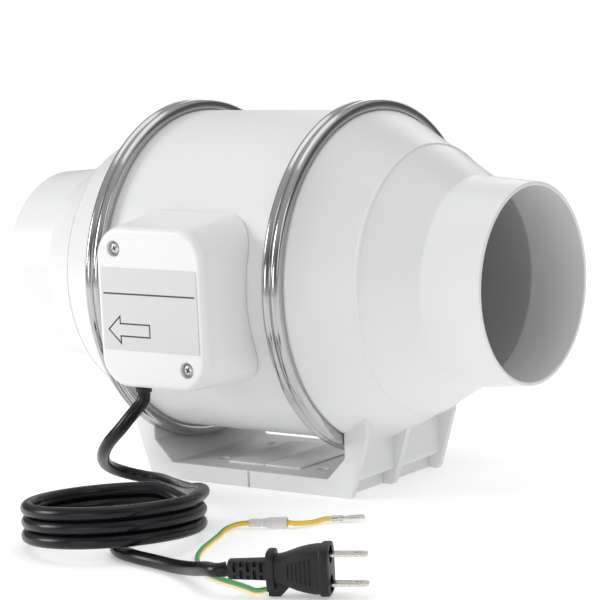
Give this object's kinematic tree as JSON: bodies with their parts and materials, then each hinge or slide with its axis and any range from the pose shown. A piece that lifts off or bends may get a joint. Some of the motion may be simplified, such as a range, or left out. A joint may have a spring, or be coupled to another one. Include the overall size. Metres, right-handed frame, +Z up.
{
  "type": "inline duct fan",
  "caption": "Mixed-flow inline fan for round duct: white two-part bracket body, motor casing held by steel clamp bands, side terminal box and mains lead with plug.",
  "frame": {"origin": "middle of the base's underside, on the surface the fan stands on, below the middle of the duct axis", "axes": "+X along the duct towards the inlet spigot, +Z up, -Y towards the terminal box"},
  "size_m": [0.3254, 0.3041, 0.1935],
  "materials": {
    "white_plastic": "semi-gloss moulded ABS",
    "polished_steel": "polished stainless steel",
    "zinc_plated_steel": "zinc plated",
    "lamination_steel": "varnished steel laminations",
    "winding_copper": "enamelled copper wire",
    "seal_rubber": "matt foam rubber",
    "label_film": "printed satin film",
    "black_pvc": "satin black PVC",
    "earth_wire": "green and yellow PVC",
    "clear_sleeve": "translucent soft PVC",
    "nickel_plate": "nickel plated",
    "beige_moulding": "moulded"
  },
  "bodies": {
    "duct": {"inlet_end": "white_plastic", "outlet_end": "white_plastic", "motor_casing": "white_plastic", "inlet_gasket": "seal_rubber", "outlet_gasket": "seal_rubber", "inlet_clamp_band": "polished_steel", "outlet_clamp_band": "polished_steel", "inlet_clamp_bolt": "zinc_plated_steel", "outlet_clamp_bolt": "zinc_plated_steel", "inlet_clamp_nut": "zinc_plated_steel", "outlet_clamp_nut": "zinc_plated_steel", "base_screw_1": "zinc_plated_steel", "base_screw_2": "zinc_plated_steel", "inlet_nozzle": "white_plastic", "guide_vane_unit": "white_plastic", "tail_cone": "white_plastic", "motor_shell": "zinc_plated_steel", "motor_end_shield": "zinc_plated_steel", "motor_screw_1": "zinc_plated_steel", "motor_screw_2": "zinc_plated_steel", "motor_screw_3": "zinc_plated_steel", "bearing_front": "polished_steel", "bearing_rear": "polished_steel", "stator_core": "lamination_steel", "winding_front": "winding_copper", "winding_rear": "winding_copper", "terminal_box_base": "white_plastic", "terminal_cover": "white_plastic", "cover_screw_upper": "zinc_plated_steel", "cover_screw_lower": "zinc_plated_steel", "rating_label": "label_film", "terminal_block": "beige_moulding", "terminal_screw_1": "nickel_plate", "terminal_screw_2": "nickel_plate", "terminal_screw_3": "nickel_plate", "run_capacitor": "beige_moulding", "cord_clamp": "beige_moulding", "clamp_screw_1": "zinc_plated_steel", "clamp_screw_2": "zinc_plated_steel", "cord_gland": "black_pvc", "power_cord_tail": "black_pvc", "power_cord_drop": "black_pvc", "power_cord_coil": "black_pvc", "power_cord_lead": "black_pvc", "plug_body": "black_pvc", "plug_blade_1": "nickel_plate", "plug_blade_2": "nickel_plate", "earth_lead": "earth_wire", "earth_sleeve": "clear_sleeve", "earth_lead_end": "earth_wire", "fork_terminal": "nickel_plate"},
    "rotor": {"rotor_core": "lamination_steel", "motor_shaft": "polished_steel", "impeller": "white_plastic", "impeller_nut": "zinc_plated_steel"}
  },
  "joints": [
    {"name": "impeller_spin", "type": "hinge", "parent": "duct", "child": "rotor", "pos_m": [0, 0, 0.105], "axis": [1, 0, 0], "continuous": true}
  ]
}
